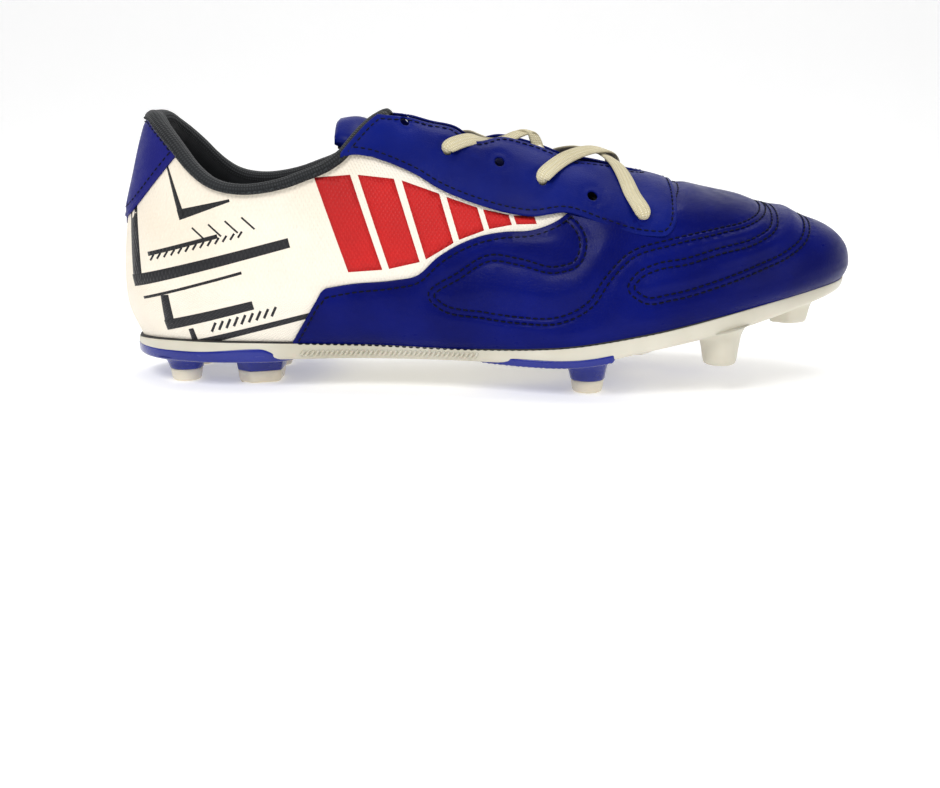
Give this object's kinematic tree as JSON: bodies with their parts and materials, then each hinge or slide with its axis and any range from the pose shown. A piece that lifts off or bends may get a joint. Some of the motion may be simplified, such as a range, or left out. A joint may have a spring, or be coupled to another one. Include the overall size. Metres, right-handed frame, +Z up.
{
  "type": "soccer cleat",
  "caption": "Low-cut laced soccer cleat for the right foot: leather upper with padded collar and tongue, moulded sole plate with overlays and tipped studs.",
  "frame": {"origin": "centre of the shoe's bounding box in plan, at the height of the longest stud tips", "axes": "+X from heel to toe, +Y to the medial side of a right foot, +Z up"},
  "size_m": [0.291, 0.0956, 0.1071],
  "materials": {
    "plate_white": "moulded, semi-gloss",
    "plate_blue": "moulded, glossy",
    "stud_white": "moulded, semi-gloss",
    "upper_blue": "smooth coated leather, satin",
    "upper_white": "woven-grain coated leather, matte",
    "lining_black": "knitted mesh",
    "binding": "woven tape",
    "foam": "open-cell foam",
    "board": "pressed fibre board",
    "sockliner": "fabric-topped foam",
    "lace": "flat woven polyester",
    "aglet": "clear film sleeve"
  },
  "bodies": {
    "shoe": {"outsole_plate": "plate_white", "heel_stabiliser": "plate_blue", "forefoot_fork": "plate_blue", "heel_stud_tip_lateral": "stud_white", "heel_stud_tip_medial": "stud_white", "heel_chevron_tip_lateral": "stud_white", "heel_chevron_tip_medial": "stud_white", "midfoot_stud_tip_lateral": "stud_white", "midfoot_stud_tip_medial": "stud_white", "centre_chevron_tip": "stud_white", "insole_board": "board", "heel_counter": "board", "toe_puff": "board", "vamp": "upper_blue", "quarter_lateral": "upper_white", "quarter_medial": "upper_white", "eyestay": "upper_blue", "eyelet_facing_lateral": "lining_black", "eyelet_facing_medial": "lining_black", "heel_tab": "upper_blue", "collar_foam": "foam", "collar_binding": "binding", "quarter_lining": "lining_black", "vamp_lining": "lining_black", "lace": "lace", "aglet_lateral": "aglet", "aglet_medial": "aglet"},
    "tongue": {"tongue_outer": "upper_blue", "tongue_foam": "foam", "tongue_lining": "lining_black"},
    "sockliner": {"sockliner": "sockliner"}
  },
  "joints": [
    {"name": "tongue_swing", "type": "hinge", "parent": "shoe", "child": "tongue", "pos_m": [0.063, -0.0015, 0.069], "axis": [0, -1, 0], "range_deg": [0, 15], "stiffness_Nm_per_rad": 0.06, "springref_deg": -28.65},
    {"name": "sockliner_lift", "type": "hinge", "parent": "shoe", "child": "sockliner", "pos_m": [0.138, 0.001, 0.042], "axis": [0, 1, 0], "range_deg": [0, 7]}
  ]
}
